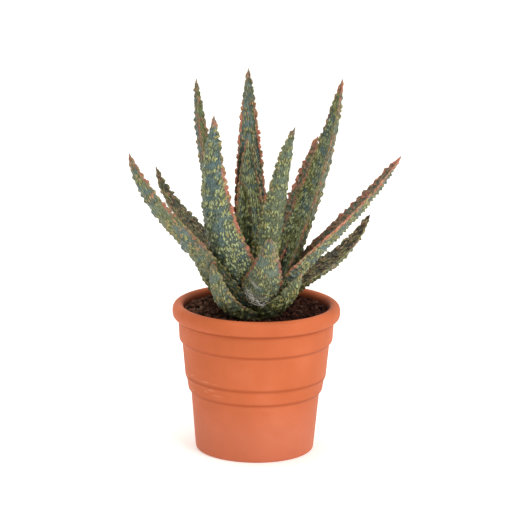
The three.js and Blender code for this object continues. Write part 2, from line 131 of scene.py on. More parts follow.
# Each leaf's looks. lower and upper: the ground colour of a face (0 slate, 1 grey-green, 2 deep
# green, 3 red-brown), the warmth of its spots (0 pale lime, 0.35 olive, 0.65 tan, 1 coral), how
# thickly they stand, and how much of the ground is blotched olive. coral: how coral the left margin,
# the right margin and the tip are. bare and until: between which shares of the length the margins
# are coral. rust: how far that coral is darkened. streak: how long the fine streaks are drawn. A row
# leaves out what is as usual.
GROUND, WARMTH, DENSITY, OLIVE = range(4)
USUAL_LOOKS = dict(bare=0.15, until=1.0, rust=0.2, streak=1.3)
LOOKS = {
    "leaf_short_left": dict(
        lower=(0.7, 0.3, 0.6, 0.3), upper=(2.2, 0.6, 0.6, 0.3), coral=(0.1, 0.42, 0.5), bare=0.3,
        rust=1.0, streak=1.6),
    "leaf_short_right": dict(
        lower=(1.2, 0.25, 0.9, 0.4), upper=(2.3, 0.6, 0.6, 0.2), coral=(0.1, 0.45, 0.4), bare=0.25,
        streak=1.0),
    "leaf_low_left": dict(
        lower=(1.7, 0.3, 0.7, 0.4), upper=(2.2, 0.5, 0.6, 0.3), coral=(0.05, 0.1, 0.3), bare=0.3,
        rust=0.3, streak=1.2),
    "leaf_low_front": dict(
        lower=(0.6, 0.3, 0.7, 0.2), upper=(2.2, 0.6, 0.7, 0.3), coral=(0.8, 0.9, 0.3), bare=0.05,
        until=0.72, rust=0.75, streak=1.2),
    "leaf_low_right": dict(
        lower=(2.2, 0.45, 0.8, 0.2), upper=(3.0, 0.55, 0.9, 0.0), coral=(0.15, 0.15, 0.1), bare=0.25,
        until=0.9, rust=0.5, streak=2.0),
    "leaf_back_low": dict(
        lower=(0.6, 0.2, 0.7, 0.3), upper=(2.0, 0.6, 0.7, 0.3), coral=(0.6, 0.6, 0.5), streak=1.2),
    "leaf_far_left": dict(
        lower=(0.35, 0.4, 0.5, 0.7), upper=(2.6, 0.8, 0.9, 0.0), coral=(0.3, 0.6, 0.8), bare=0.35,
        rust=0.5),
    "leaf_far_right": dict(
        lower=(0.3, 0.25, 0.8, 0.4), upper=(0.5, 0.95, 1.0, 0.3), coral=(0.8, 0.75, 1.0), bare=0.2,
        rust=0.05),
    "leaf_back_left": dict(
        lower=(2.4, 0.5, 0.7, 0.2), upper=(2.8, 0.5, 0.9, 0.1), coral=(0.2, 0.45, 0.2), until=0.8,
        rust=0.6, streak=1.8),
    "leaf_back_middle": dict(
        lower=(0.6, 0.2, 0.7, 0.3), upper=(1.8, 0.5, 0.7, 0.3), coral=(0.5, 0.5, 0.5), streak=1.2),
    "leaf_back_right": dict(
        lower=(0.6, 0.2, 0.7, 0.3), upper=(1.8, 0.5, 0.7, 0.3), coral=(0.5, 0.5, 0.5), streak=1.2),
    "leaf_front_left": dict(
        lower=(0.1, 0.1, 0.85, 0.25), upper=(1.6, 0.6, 0.7, 0.3), coral=(0.2, 0.75, 1.0), bare=0.05,
        until=0.72, rust=0.1, streak=1.1),
    "leaf_tall_right": dict(
        lower=(0.6, 0.4, 0.7, 0.5), upper=(0.1, 0.08, 1.1, 1.0), coral=(0.55, 0.5, 1.0), bare=0.12,
        rust=0.05),
    "leaf_tall_left": dict(
        lower=(0.4, 0.5, 0.65, 0.3), upper=(1.8, 0.5, 0.8, 0.3), coral=(0.35, 0.7, 0.2), until=0.85,
        rust=0.4, streak=1.5),
    "leaf_behind_right": dict(
        lower=(0.8, 0.4, 0.7, 0.6), upper=(1.0, 0.85, 1.1, 0.8), coral=(0.8, 1.0, 0.8), bare=0.1,
        rust=0.0),
    "leaf_front_right": dict(
        lower=(0.9, 0.15, 0.5, 0.35), upper=(1.8, 0.4, 0.7, 0.3), coral=(0.1, 0.2, 0.3), bare=0.25,
        until=0.9, rust=0.3, streak=1.2),
    "leaf_tall_back": dict(
        lower=(0.5, 0.3, 0.7, 0.4), upper=(0.3, 0.4, 0.85, 0.15), coral=(0.9, 0.9, 0.4), bare=0.1,
        until=0.82, rust=0.05, streak=2.2),
    "leaf_inner_back": dict(
        lower=(0.5, 0.2, 0.7, 0.4), upper=(0.5, 0.15, 1.35, 0.1), coral=(0.45, 0.45, 0.7), bare=0.25,
        rust=0.1, streak=2.6),
    "leaf_inner_bud": dict(
        lower=(1.4, 0.1, 0.9, 0.6), upper=(1.4, 0.1, 0.9, 0.6), coral=(0.5, 0.3, 0.6), bare=0.4, rust=0.0,
        streak=2.6),
}

# The dusty film on the front leaf: places along and across it, reaches both ways and strengths.
FILM_LEAF = "leaf_low_front"
FILM_PATCHES = ((23, -8, 5, 3.2, 1.0), (23, -3, 6, 8, 0.45), (19, 5, 2, 7, 0.5), (38, -8, 1.4, 4, 0.6))
# Its fibres: how many, their mean start along and across, its spread, and their mean direction.
FIBRES = ((18, 22, -8.5, 2.4, 30), (11, 20, -2, 3.0, 90), (7, 19, 8, 2.2, 80))

# Heights of the pot's creases: over the lower wall, over the narrow ring, under the upper band and
# under the rim.
CREASES = (49.1, 61.5, 89.9, 107.8)

# The photo's camera. The roll turns the picture so that the pot leans a little to the right.
CAMERA_RISE, CAMERA_ROLL = 13.3, 0.8
CAMERA_DISTANCE = 2.1
CAMERA_AIM = Vector((-0.0009, 0, 0.1584))
CAMERA_LENS, CAMERA_SENSOR = 184.6, 36

# The studio, in metres: each lamp's place, size and power, and where both are aimed.
LAMPS = {"key": ((1.3, -1.5, 1.6), 1.3, 32), "top": ((-0.2, 0.1, 1.9), 1.0, 14)}
LAMP_AIM = Vector((0, 0, 0.15))
WORLD_COLOR, WORLD_STRENGTH = (1, 0.97, 0.92, 1), 0.71


# ---- Meshes ----

def add_object(name, points, faces):
    """A mesh object from points in millimetres. A face is a tuple of point numbers."""
    mesh = bpy.data.meshes.new(name)
    mesh.from_pydata((np.asarray(points, float) * 0.001).tolist(), [], faces)
    mesh.polygons.foreach_set("use_smooth", [True] * len(mesh.polygons))
    mesh.update()
    piece = bpy.data.objects.new(name, mesh)
    bpy.context.scene.collection.objects.link(piece)
    return piece


def set_values(piece, name, values):
    """Stores one number for each point, for the material to read."""
    attribute = piece.data.attributes.new(name, "FLOAT", "POINT")
    attribute.data.foreach_set("value", np.asarray(values, np.float32).ravel())


def grid_faces(rows, columns, closed):
    """Quads of a grid of points. A closed grid joins its last column to its first."""
    last = columns if closed else columns - 1
    i, j = np.meshgrid(np.arange(rows - 1), np.arange(last), indexing="ij")
    k = (j + 1) % columns
    quads = np.stack([i * columns + j, i * columns + k, (i + 1) * columns + k, (i + 1) * columns + j], -1)
    return [tuple(q) for q in quads.reshape(-1, 4).tolist()]


def ripple(x, y, seed):
    """Smooth waves between about -1 and 1 over a plane, from a few crossing sine waves."""
    rng = np.random.default_rng(seed)
    total = 0
    for _ in range(5):
        angle, phase = rng.uniform(0, 2 * math.pi, 2)
        rate = rng.uniform(0.6, 1.6)
        total = total + np.sin(rate * (x * math.cos(angle) + y * math.sin(angle)) + phase)
    return total / 3


def smoothstep(low, high, value):
    s = np.clip((value - low) / (high - low), 0, 1)
    return s * s * (3 - 2 * s)


# ---- Materials ----

def paint(color):
    """A linear colour from a usual hex colour. Anything else comes back as it is."""
    if not isinstance(color, str):
        return color
    parts = [int(color[i:i + 2], 16) / 255 for i in (1, 3, 5)]
    return tuple(p / 12.92 if p <= 0.04045 else ((p + 0.055) / 1.055) ** 2.4 for p in parts) + (1,)


class Paintbox:
    """A material's node tree with short ways to add what the materials here use."""

    def __init__(self, name):
        self.material = bpy.data.materials.new(name)
        self.material.use_nodes = True
        self.tree = self.material.node_tree
        self.shader = self.tree.nodes["Principled BSDF"]
        self.place = self.add("ShaderNodeTexCoord").outputs["Object"]

    def add(self, kind, inputs=(), **settings):
        node = self.tree.nodes.new(kind)
        for key, value in settings.items():
            setattr(node, key, value)
        for key, value in dict(inputs).items():
            self.feed(node.inputs[key], value)
        return node

    def feed(self, socket, value):
        if isinstance(value, bpy.types.NodeSocket):
            self.tree.links.new(value, socket)
        else:
            socket.default_value = paint(value)

    def value(self, name):
        return self.add("ShaderNodeAttribute", attribute_name=name).outputs["Fac"]

    def noise(self, size_mm, detail=3, roughness=0.5, stretch=(1, 1, 1)):
        """Noise with blotches of about that size. stretch above 1 makes them shorter that way."""
        scaled = self.add("ShaderNodeMapping", {"Vector": self.place, "Scale": stretch}).outputs[0]
        inputs = {"Vector": scaled, "Scale": 1000 / size_mm, "Detail": detail, "Roughness": roughness}
        return self.add("ShaderNodeTexNoise", inputs).outputs[0]

    def ramp(self, factor, *stops):
        node = self.add("ShaderNodeValToRGB", {0: factor})
        elements = node.color_ramp.elements
        while len(elements) < len(stops):
            elements.new(0.5)
        for element, (position, color) in zip(elements, stops):
            element.position, element.color = position, paint(color)
        return node.outputs[0]

    def grade(self, value, low, high, to_low=0.0, to_high=1.0):
        inputs = {0: value, 1: low, 2: high, 3: to_low, 4: to_high}
        return self.add("ShaderNodeMapRange", inputs).outputs[0]

    def math(self, operation, a, b):
        return self.add("ShaderNodeMath", {0: a, 1: b}, operation=operation, use_clamp=True).outputs[0]

    def mix(self, factor, a, b):
        return self.add("ShaderNodeMix", {0: factor, 6: a, 7: b}, data_type="RGBA").outputs[2]

    def tint(self, color, factor, share, other):
        """A colour drawn towards another one, by at most that share, where the factor is 1."""
        return self.mix(factor, color, self.mix(share, color, other))

    def finish(self, color, roughness, bump=None, strength=0.3, depth_mm=0.2, **sockets):
        self.feed(self.shader.inputs["Base Color"], color)
        self.feed(self.shader.inputs["Roughness"], roughness)
        for key, value in sockets.items():
            self.feed(self.shader.inputs[key.replace("_", " ")], value)
        if bump is not None:
            inputs = {"Height": bump, "Strength": strength, "Distance": depth_mm / 1000}
            normal = self.add("ShaderNodeBump", inputs).outputs[0]
            self.feed(self.shader.inputs["Normal"], normal)
        return self.material


def stretched(box, length, width):
    """Places on a leaf in cells of that length and width in millimetres."""
    place = box.add("ShaderNodeAttribute", attribute_name="leaf_mm").outputs["Vector"]
    return box.add("ShaderNodeMapping", {"Vector": place, "Scale": (1 / length, 1 / width, 1)}).outputs[0]


def drawn_noise(box, length, width, detail):
    """Noise that is drawn out along the leaf."""
    inputs = {"Vector": stretched(box, length, width), "Scale": 1, "Detail": detail}
    return box.add("ShaderNodeTexNoise", inputs).outputs[0]


def fine_streaks(box, length, width, most):
    """Mask, dark outline and random tone of small streaks, which stand where the bands are."""
    inputs = {"Vector": stretched(box, length, width), "Scale": 1, "Randomness": 0.9}
    cells = box.add("ShaderNodeTexVoronoi", inputs)
    draw = box.add("ShaderNodeSeparateColor", {0: cells.outputs["Color"]})
    chance = box.grade(box.value("band"), 0.0, 1.0, 0.15, most)
    kept = box.grade(box.math("SUBTRACT", chance, draw.outputs[0]), 0.0, 0.05)
    away = cells.outputs["Distance"]
    dot = box.math("MULTIPLY", box.grade(away, 0.24, 0.4, 1.0, 0.0), kept)
    outline = box.math("MULTIPLY", box.grade(away, 0.36, 0.44), box.grade(away, 0.5, 0.64, 1.0, 0.0))
    return dot, box.math("MULTIPLY", outline, kept), draw.outputs[1]


def leaf_ground(box, mottle, outlines):
    """The skin between the spots: darker in the bands, blotched olive and finely lined."""
    blotch = box.noise(11, detail=2, roughness=0.45, stretch=(1, 1, 0.7))
    lines = drawn_noise(box, 7, 0.7, detail=3)
    color = box.ramp(
        box.math("DIVIDE", box.value("ground"), 3.0),
        (0.0, "#4c6a6f"), (0.33, "#586850"), (0.66, "#475c1b"), (1.0, "#2a130a"))
    color = box.tint(color, box.grade(mottle, 0.42, 0.7, 0.0, 0.7), 0.45, "#3f4a33")
    color = box.tint(color, box.math("MULTIPLY", box.value("band"), 0.55), 0.8, "#363c16")
    olive = box.math("MULTIPLY", box.value("olive"), box.grade(blotch, 0.5, 0.55))
    color = box.tint(color, olive, 0.75, "#6b6b1a")
    color = box.tint(color, box.grade(lines, 0.48, 0.66, 0.0, 0.8), 0.7, "#1f220f")
    color = box.tint(color, box.grade(lines, 0.46, 0.34, 0.0, 0.5), 0.5, "#8f9a80")
    return box.tint(color, box.math("MULTIPLY", outlines, 0.6), 0.8, "#1d2210")


def leaf_spots(box, mottle, tone):
    """The spots' colour, from pale lime to coral."""
    warm = box.math("ADD", box.value("warmth"), box.grade(tone, 0.2, 0.8, -0.18, 0.18))
    color = box.ramp(
        warm, (0.0, "#b9c798"), (0.2, "#a9b270"), (0.4, "#97904a"), (0.65, "#9b7c58"), (1.0, "#ab634f"))
    return box.tint(color, box.grade(mottle, 0.4, 0.7, 0.0, 0.7), 0.5, "#687050")


def leaf_material():
    """Waxy slate-green skin with raised pale streaks in darker bands, and horny coral margins."""
    box = Paintbox("leaf_skin")
    mottle = box.noise(7, detail=4, roughness=0.6)
    fine = box.noise(1.1, detail=3, roughness=0.6)
    grain = drawn_noise(box, 2.2, 0.6, detail=2)
    long_dot, long_outline, long_tone = fine_streaks(box, 2.9, 1.15, most=0.9)
    short_dot, short_outline, short_tone = fine_streaks(box, 1.7, 0.8, most=0.5)
    outlines = box.math("MAXIMUM", long_outline, box.math("MULTIPLY", short_outline, 0.5))
    raised = box.grade(box.value("spot"), 0.15, 0.6)
    spot = box.math("MAXIMUM", raised, box.math("MAXIMUM", long_dot, box.math("MULTIPLY", short_dot, 0.7)))
    spots = leaf_spots(box, mottle, box.mix(0.5, long_tone, short_tone))
    color = box.mix(spot, leaf_ground(box, mottle, outlines), spots)
    color = box.tint(color, box.grade(grain, 0.5, 0.68, 0.0, 0.6), 0.6, "#23260f")
    color = box.tint(color, box.grade(grain, 0.48, 0.34, 0.0, 0.45), 0.5, "#b4b79c")
    coral = box.ramp(
        box.noise(2.2, detail=4, roughness=0.65),
        (0.3, "#6e3d2d"), (0.44, "#a45c43"), (0.58, "#c1775d"), (0.8, "#dba893"))
    coral = box.tint(coral, box.value("rust"), 0.8, "#5a2519")
    broken = box.grade(box.noise(3.4, detail=3, roughness=0.6), 0.42, 0.52, 0.2, 1.0)
    color = box.mix(box.math("MULTIPLY", box.value("coral"), broken), color, coral)
    color = box.mix(box.value("bloom"), color, "#c3c2b8")
    roughness = box.grade(fine, 0.3, 0.7, 0.42, 0.62)
    relief = box.math("MAXIMUM", long_dot, short_dot)
    relief = box.math("ADD", box.math("MULTIPLY", relief, 0.7), box.math("MULTIPLY", fine, 0.3))
    return box.finish(color, roughness, bump=relief, strength=0.6, depth_mm=0.35)


def crease_shade(box, rise):
    """How dark the pot is near each of its creases, from 0 to 1."""
    stops = []
    for crease in CREASES:
        stops += [(crease - 2.4, 0), (crease - 0.2, 1), (crease + 0.4, 0.8), (crease + 1.8, 0)]
    return box.ramp(box.grade(rise, 0, POT_HEIGHT / 1000),
                    *((z / POT_HEIGHT, (v, v, v, 1)) for z, v in stops))


def rubbed_mask(box, side, rise):
    """Pale level streaks on the left of the narrow ring."""
    streaks = box.noise(9, detail=2, stretch=(0.4, 0.4, 4))
    ring = box.math("MULTIPLY", box.grade(rise, 0.051, 0.056), box.grade(rise, 0.064, 0.069, 1.0, 0.0))
    ring = box.math("MULTIPLY", ring, box.grade(side, -0.036, -0.02, 1.0, 0.0))
    return box.math("MULTIPLY", ring, box.grade(streaks, 0.6, 0.7, 0.0, 0.5))


def inner_wall_shade_mask(box, spread, broad):
    """The inner wall's band of painted shade just over the soil, down in the pot's hollow."""
    rise = spread.outputs[2]
    flat = box.add("ShaderNodeCombineXYZ", {0: spread.outputs[0], 1: spread.outputs[1]}).outputs[0]
    reach = box.add("ShaderNodeVectorMath", {0: flat}, operation="LENGTH").outputs["Value"]
    ragged_rise = box.math("ADD", rise, box.grade(broad, 0.3, 0.7, -0.0015, 0.0015))
    band = box.math("MULTIPLY", box.grade(ragged_rise, 0.1125, 0.118, 1.0, 0.0), box.grade(rise, 0.109, 0.11))
    return box.math("MULTIPLY", band, box.grade(reach, 0.0588, 0.0596, 1.0, 0.0))


def clay_material():
    """Matte terracotta: faintly mottled, with painted shade in the creases and on the inner wall by the
    soil, a painted reflection of the floor low down, and rubbed streaks.
    """
    box = Paintbox("pot_terracotta")
    broad = box.noise(38, detail=3)
    fine = box.noise(1.6, detail=5, roughness=0.65)
    spread = box.add("ShaderNodeSeparateXYZ", {0: box.place})
    side, rise = spread.outputs[0], spread.outputs[2]
    color = box.ramp(broad, (0.3, "#b95f36"), (0.55, "#c2653e"), (0.75, "#c86e49"))
    color = box.mix(box.grade(fine, 0.35, 0.75, 0.0, 0.1), color, "#ad542f")
    # Painted reflection: the pot turns pinker towards its foot, as if lit by the white floor.
    color = box.mix(box.grade(rise, 0.055, 0.02, 0.0, 0.35), color, "#bf7560")
    color = box.mix(box.math("MULTIPLY", crease_shade(box, rise), 0.6), color, "#8f3c14")
    color = box.mix(rubbed_mask(box, side, rise), color, "#e8b396")
    # Painted shade: a dark band on the inner wall just over the soil.
    color = box.mix(box.math("MULTIPLY", inner_wall_shade_mask(box, spread, broad), 0.8), color, "#2c120a")
    return box.finish(color, box.grade(fine, 0.3, 0.7, 0.5, 0.68), bump=fine, strength=0.08, depth_mm=0.1,
                      Specular_IOR_Level=0.16)


def soil_material():
    """Peat and bark crumbs, nearly black where damp, with painted light making them paler and greyer to the
    left.
    """
    box = Paintbox("soil_peat")
    crumbs = box.noise(2.2, detail=6, roughness=0.7)
    lumps = box.noise(5.5, detail=2)
    side = box.add("ShaderNodeSeparateXYZ", {0: box.place}).outputs[0]
    color = box.ramp(crumbs, (0.3, "#150806"), (0.5, "#371a13"), (0.64, "#5c3625"), (0.85, "#94705a"))
    # Painted light: the soil turns paler towards the left, the side the lamps reach past the rim.
    color = box.mix(box.grade(side, -0.008, -0.05, 0.0, 0.6), color, "#7d5a49")
    color = box.mix(box.grade(lumps, 0.52, 0.42, 0.0, 0.75), color, "#1c0c09")
    color = box.mix(box.grade(lumps, 0.58, 0.68, 0.0, 0.15), color, "#7f6152")
    color = box.mix(box.grade(box.value("tone"), 0.35, 1.0), color, "#a08574")
    return box.finish(color, 0.9, bump=crumbs, strength=0.6, depth_mm=0.5, Specular_IOR_Level=0.1)


def sheath_material():
    """Dry and green leaf sheaths round the stem."""
    box = Paintbox("stem_sheaths")
    fibres = box.noise(1.5, detail=4, stretch=(1, 1, 0.15))
    rings = box.noise(6, detail=2, stretch=(0.3, 0.3, 2))
    color = box.ramp(fibres, (0.3, "#4c3a22"), (0.55, "#77793f"), (0.8, "#b3ab70"))
    color = box.mix(box.grade(rings, 0.45, 0.65), color, "#2f2716")
    return box.finish(color, 0.75, bump=fibres, strength=0.5, depth_mm=0.4)


# ---- Leaves ----

def through_thirds(values, t):
    """The curve through four values at 0, 1/3, 2/3 and 1."""
    a, b, c, d = values
    s = 3 * t
    return (-a * (s - 1) * (s - 2) * (s - 3) / 6 + b * s * (s - 2) * (s - 3) / 2
            - c * s * (s - 1) * (s - 3) / 2 + d * s * (s - 1) * (s - 2) / 6)


def leaf_seed(leaf):
    """Where the leaf's draws start, as in the part."""
    return TEETH_SEED + round(leaf["length"] * 7 + leaf["heading"])


def leaf_axes(leaf, along):
    """Directions at distances along the leaf: along it, across it and out of its upper face."""
    t = along / leaf["length"]
    lean = np.radians(through_thirds(leaf["lean"], t) + BASE_FLARE * np.exp(-along / 8))[:, None]
    heading = np.radians(leaf["heading"] + leaf["turn"] * t)
    start, end = leaf["roll"]
    roll = np.radians(start + (end - start) * t)[:, None]
    level = np.stack([-np.sin(heading), np.cos(heading), 0 * t], -1)
    out = np.stack([np.cos(heading), np.sin(heading), 0 * t], -1)
    up = np.array([0.0, 0.0, 1.0])
    tangent = out * np.sin(lean) + up * np.cos(lean)
    face = up * np.sin(lean) - out * np.cos(lean)
    across = level * np.cos(roll) + face * np.sin(roll)
    upper = face * np.cos(roll) - level * np.sin(roll)
    return tangent, across, upper


def leaf_spine(leaf, along):
    """Points of the leaf's middle line."""
    steps = round(leaf["length"])
    step = leaf["length"] / steps
    tangent = leaf_axes(leaf, (np.arange(steps) + 0.5) * step)[0]
    heading = math.radians(leaf["heading"])
    start = np.array([PLANT[0] + leaf["reach"] * math.cos(heading),
                      PLANT[1] + leaf["reach"] * math.sin(heading), leaf["foot"]])
    points = start + np.vstack([np.zeros(3), np.cumsum(tangent * step, 0)])
    knots = np.arange(steps + 1) * step
    return np.stack([np.interp(along, knots, points[:, i]) for i in range(3)], -1)


def leaf_section(leaf, along):
    """Width, channel depth and thickness of the leaf at distances along it."""
    t = along / leaf["length"]
    outline = (1 - t) ** leaf["taper"] * (1 + SWELL * t)
    width = leaf["width"] * outline * (1 - BASE_PINCH * np.exp(-along / 7))
    channel = width * (CHANNEL + CLASP * np.exp(-along / 20))
    thickness = width * leaf["thick"] * (1 + 0.6 * t)
    return width, channel, thickness


def draw_from(seed):
    """The part's own repeatable draw of numbers from 0 to 1."""
    state = seed
    while True:
        state = (state * 1103515245 + 12345) % 2147483648
        yield state / 2147483648


def tooth_heights(leaf, along, draw):
    """Height of one margin's blunt lobes, as in the part, but with rounded corners."""
    heights = np.zeros_like(along)
    heel = TEETH_FROM * (0.8 + 0.4 * next(draw))
    while heel < leaf["length"] - TOOTH_PITCH:
        pitch = TOOTH_PITCH * (0.6 + 0.8 * next(draw))
        fade = min(1, 0.5 + 2 * (1 - heel / leaf["length"]))
        height = TOOTH_HEIGHT * (0.6 + 0.6 * next(draw)) * fade
        s = (along - heel) / pitch
        lobe = 1 - np.abs(2 * s - 1) ** 4
        heights = np.where((s > 0) & (s < 1), height * lobe, heights)
        heel += pitch
    return heights


def band_field(along, over, seed):
    """Above 0 in the uneven cross-bands where the spots stand, below 0 on the bare skin between."""
    return ripple(over / 3.4, along / 1.9, seed) + 0.3 * ripple(over / 1.2, along / 0.9, seed + 1)


def scatter_spots(leaf, face, seed, rng):
    """Raised streaks and warts: (along, across, half length, half width, warmth, height)."""
    warmth, density = face[WARMTH], face[DENSITY]
    spots = []
    row = 3.0
    while row < leaf["length"] - 1.5:
        t = row / leaf["length"]
        half_width = leaf_section(leaf, np.array([row]))[0][0] / 2
        near_foot = math.exp(-4 * t)
        over = -half_width + rng.uniform(0.4, 1.4)
        while over < half_width - 0.4:
            along = row + rng.uniform(-1.1, 1.1)
            side = abs(over / half_width)
            chance = 0.12 + 0.45 * float(band_field(along, over, seed)) + 0.3 * near_foot
            chance += 0.5 * (density - 0.6)
            wart = rng.uniform() < 0.03 + 0.14 * side ** 2
            if wart or rng.uniform() < chance:
                half, narrow, heights = WART if wart else STREAK
                size = rng.uniform(0.7, 1.3) * (1 - 0.25 * near_foot)
                warm = min(1, max(0, warmth + 0.25 * side ** 3 + 0.25 * t ** 3 + rng.normal(0, 0.1)))
                spots.append((along, over, half * size, narrow * size, warm, rng.uniform(*heights)))
            over += rng.uniform(*SPOTS_APART)
        row += rng.uniform(*ROWS_APART)
    return spots


def lay_spots(leaf, grid, face, rng):
    """Height, mask, warmth and bands of the spots over one face's grid of points."""
    seed = int(rng.integers(10000))
    along, t = grid.along[:, None], grid.t[:, None]
    height, mask = np.zeros_like(grid.over), np.zeros_like(grid.over)
    warmth = np.clip(face[WARMTH] + 0.12 * np.abs(grid.u) ** 3 + 0.12 * t ** 3, 0, 1)
    for place, side, half, narrow, warm, rise in scatter_spots(leaf, face, seed, rng):
        rows = slice(*np.searchsorted(grid.along, (place - half, place + half)))
        if rows.start == rows.stop:
            continue
        slant = rng.normal(0, 0.1)
        down = along[rows] - place
        over = grid.over[rows] - side - slant * down
        dome = np.sqrt(np.clip(1 - (down / half) ** 2 - (over / narrow) ** 2, 0, 1))
        better = dome > mask[rows]
        mask[rows] = np.where(better, dome, mask[rows])
        warmth[rows] = np.where(better, warm, warmth[rows])
        height[rows] = np.maximum(height[rows], rise * dome)
    dense = 0.9 * np.exp(-4 * t) + 0.8 * (face[DENSITY] - 0.7)
    bands = smoothstep(-0.35, 0.3, band_field(along, grid.over, seed) + dense)
    return height, mask, warmth, bands


def dusty_film(leaf, grid):
    """How white a face is with the dusty film that sits low on the front leaf alone."""
    along, film = grid.along[:, None], np.zeros_like(grid.over)
    if leaf["name"] != FILM_LEAF:
        return film
    for place, side, reach, breadth, strength in FILM_PATCHES:
        inside = ((along - place) / reach) ** 2 + ((grid.over - side) / breadth) ** 2
        film = np.maximum(film, strength * np.exp(-inside))
    return np.clip(film * (0.75 + 0.6 * ripple(grid.over / 0.45, along / 0.5, FILM_SEED)), 0, 0.85)


def grid_normals(points):
    """Outward unit normals of a grid that closes on itself along its second axis."""
    down = np.gradient(points, axis=0)
    over = np.roll(points, -1, 1) - np.roll(points, 1, 1)
    normals = np.cross(over, down)
    return normals / np.maximum(np.linalg.norm(normals, axis=-1, keepdims=True), 1e-9)


def leaf_grid(leaf):
    """The rings of points of a leaf's smooth faces, with what the later steps need of them."""
    rings = round(leaf["length"] / GRAIN)
    along = np.linspace(0, leaf["length"] - TIP_LEFT, rings)
    _, across, upper = leaf_axes(leaf, along)
    width, channel, thickness = leaf_section(leaf, along)
    u = np.linspace(-1, 1, round(width.max() / GRAIN))
    over = u * width[:, None] / 2
    hollow = 1 - u ** 2
    edge = (EDGE * np.minimum(1, width / 9))[:, None]
    rim = edge * np.abs(u) ** 10
    plane = leaf_spine(leaf, along)[:, None] + over[..., None] * across[:, None]
    top_depth = channel[:, None] * hollow - rim
    low_depth = channel[:, None] * hollow + thickness[:, None] * hollow ** 0.8 + rim
    sink = np.minimum(SINK, SINK_SHARE * thickness)[:, None] * hollow
    return SimpleNamespace(
        along=along, t=along / leaf["length"], u=u, over=over, width=width, channel=channel, edge=edge,
        across=across, upper=upper, plane=plane, sink=sink,
        low=plane - low_depth[..., None] * upper[:, None], top=plane - top_depth[..., None] * upper[:, None])


def margin_lines(leaf, grid, side, draw, rng):
    """The middle and the crest of one margin's teeth, for every ring. side: -1 left, 1 right."""
    column = grid.plane[:, 0 if side < 0 else -1]
    outward = side * grid.across + (4 * grid.channel / grid.width)[:, None] * grid.upper
    line = np.gradient(column, axis=0)
    line /= np.linalg.norm(line, axis=-1, keepdims=True)
    outward -= (outward * line).sum(-1, keepdims=True) * line
    outward /= np.linalg.norm(outward, axis=-1, keepdims=True)
    height = tooth_heights(leaf, grid.along, draw)[:, None]
    height = height * (1 + 0.28 * ripple(2.2 * grid.along, 0, rng.integers(1000)))[:, None]
    bend = 0.35 * ripple(grid.along, 0, rng.integers(1000))[:, None] * height * grid.upper
    crest = column + outward * (height + grid.edge) + bend
    middle = column + outward * (0.6 * height + 0.4 * grid.edge) + 0.4 * bend
    return middle, crest


def round_loop(low, top, left=0.0, right=0.0):
    """Values in the order of a ring's points, from those of the two faces and of the margins."""
    shape = (len(low), 1) + low.shape[2:]
    left, right = (np.broadcast_to(np.asarray(value, float), shape) for value in (left, right))
    return np.concatenate([left, left, low, right, right, right, top[:, ::-1], left], 1)


def leaf_loop(leaf, grid, rng):
    """Every ring as one closed loop: the left crest, the lower face, the right crest, the upper face."""
    draw = draw_from(leaf_seed(leaf))
    left_middle, left_crest = margin_lines(leaf, grid, -1, draw, rng)
    right_middle, right_crest = margin_lines(leaf, grid, 1, draw, rng)
    shift = 0.8 * grid.edge * grid.upper
    columns = [left_crest, left_middle - shift, grid.low, right_middle - shift,
               right_crest, right_middle + shift, grid.top[:, ::-1], left_middle + shift]
    return np.concatenate([c if c.ndim == 3 else c[:, None] for c in columns], 1)


def leaf_relief(leaf, grid, rng):
    """Blunt knobs and low waves over a leaf, fading out at its foot and tip."""
    over, along = grid.over, grid.along[:, None]
    knobs = np.clip(ripple(over / KNOB_WIDTH, along / KNOB_LENGTH, rng.integers(1000)), 0, 1) ** 1.3
    waves = 0.3 * ripple(over / 2.1, along / 2.6, rng.integers(1000)) + KNOB * knobs
    return round_loop(waves - grid.sink, 0.5 * waves)


def margin_coral(looks, grid, strength, rng):
    """How coral one margin is along the leaf, in patches."""
    patches = 0.5 + 0.5 * ripple(grid.along / CORAL_PATCH, 0, rng.integers(1000))
    patches += 0.35 * ripple(grid.along / 0.9, 0, rng.integers(1000))
    share = smoothstep(looks["bare"] - 0.05, looks["bare"] + 0.05, grid.t)
    if looks["until"] < 1:
        share = share * (1 - smoothstep(looks["until"] - 0.06, looks["until"] + 0.06, grid.t))
    return (share * np.clip(1.6 * strength * patches + 0.9 * strength - 0.45, 0, 1))[:, None]


def leaf_coral(looks, grid, rng):
    """How coral a leaf is: along its margins, on a thin line beside them and at its tip."""
    left, right, at_tip = looks["coral"]
    left_coral, right_coral = (margin_coral(looks, grid, strength, rng) for strength in (left, right))
    half = grid.width[:, None] / 2
    from_left, from_right = (1 + grid.u) * half, (1 - grid.u) * half
    line = np.maximum(left_coral * np.clip(1.2 - from_left / (0.3 + 0.35 * left), 0, 1),
                      right_coral * np.clip(1.2 - from_right / (0.3 + 0.35 * right), 0, 1))
    tip = at_tip * smoothstep(TIP_PALE, TIP_CORAL, grid.t)[:, None]
    return np.maximum(round_loop(line, line, left_coral, right_coral), tip)


def leaf_places(looks, grid, rng):
    """Places for the fine streaks: along the leaf and across it, in one slice of the noise."""
    low = np.stack([grid.along[:, None] / looks["streak"] + 0 * grid.over, grid.over, 0 * grid.over], -1)
    place = round_loop(low, low + [0, 0, 7], low[:, :1], low[:, -1:])
    return place.reshape(-1, 3) + [0, 0, SLICE_APART * rng.integers(LEAF_SLICES)]


def loop_faces(rings, count):
    """Faces of a leaf whose rings are closed by one flat face at the foot and a point at the tip."""
    last, apex = (rings - 1) * count, rings * count
    faces = grid_faces(rings, count, True)
    faces.append(tuple(range(count - 1, -1, -1)))
    return faces + [(last + j, last + (j + 1) % count, apex) for j in range(count)]


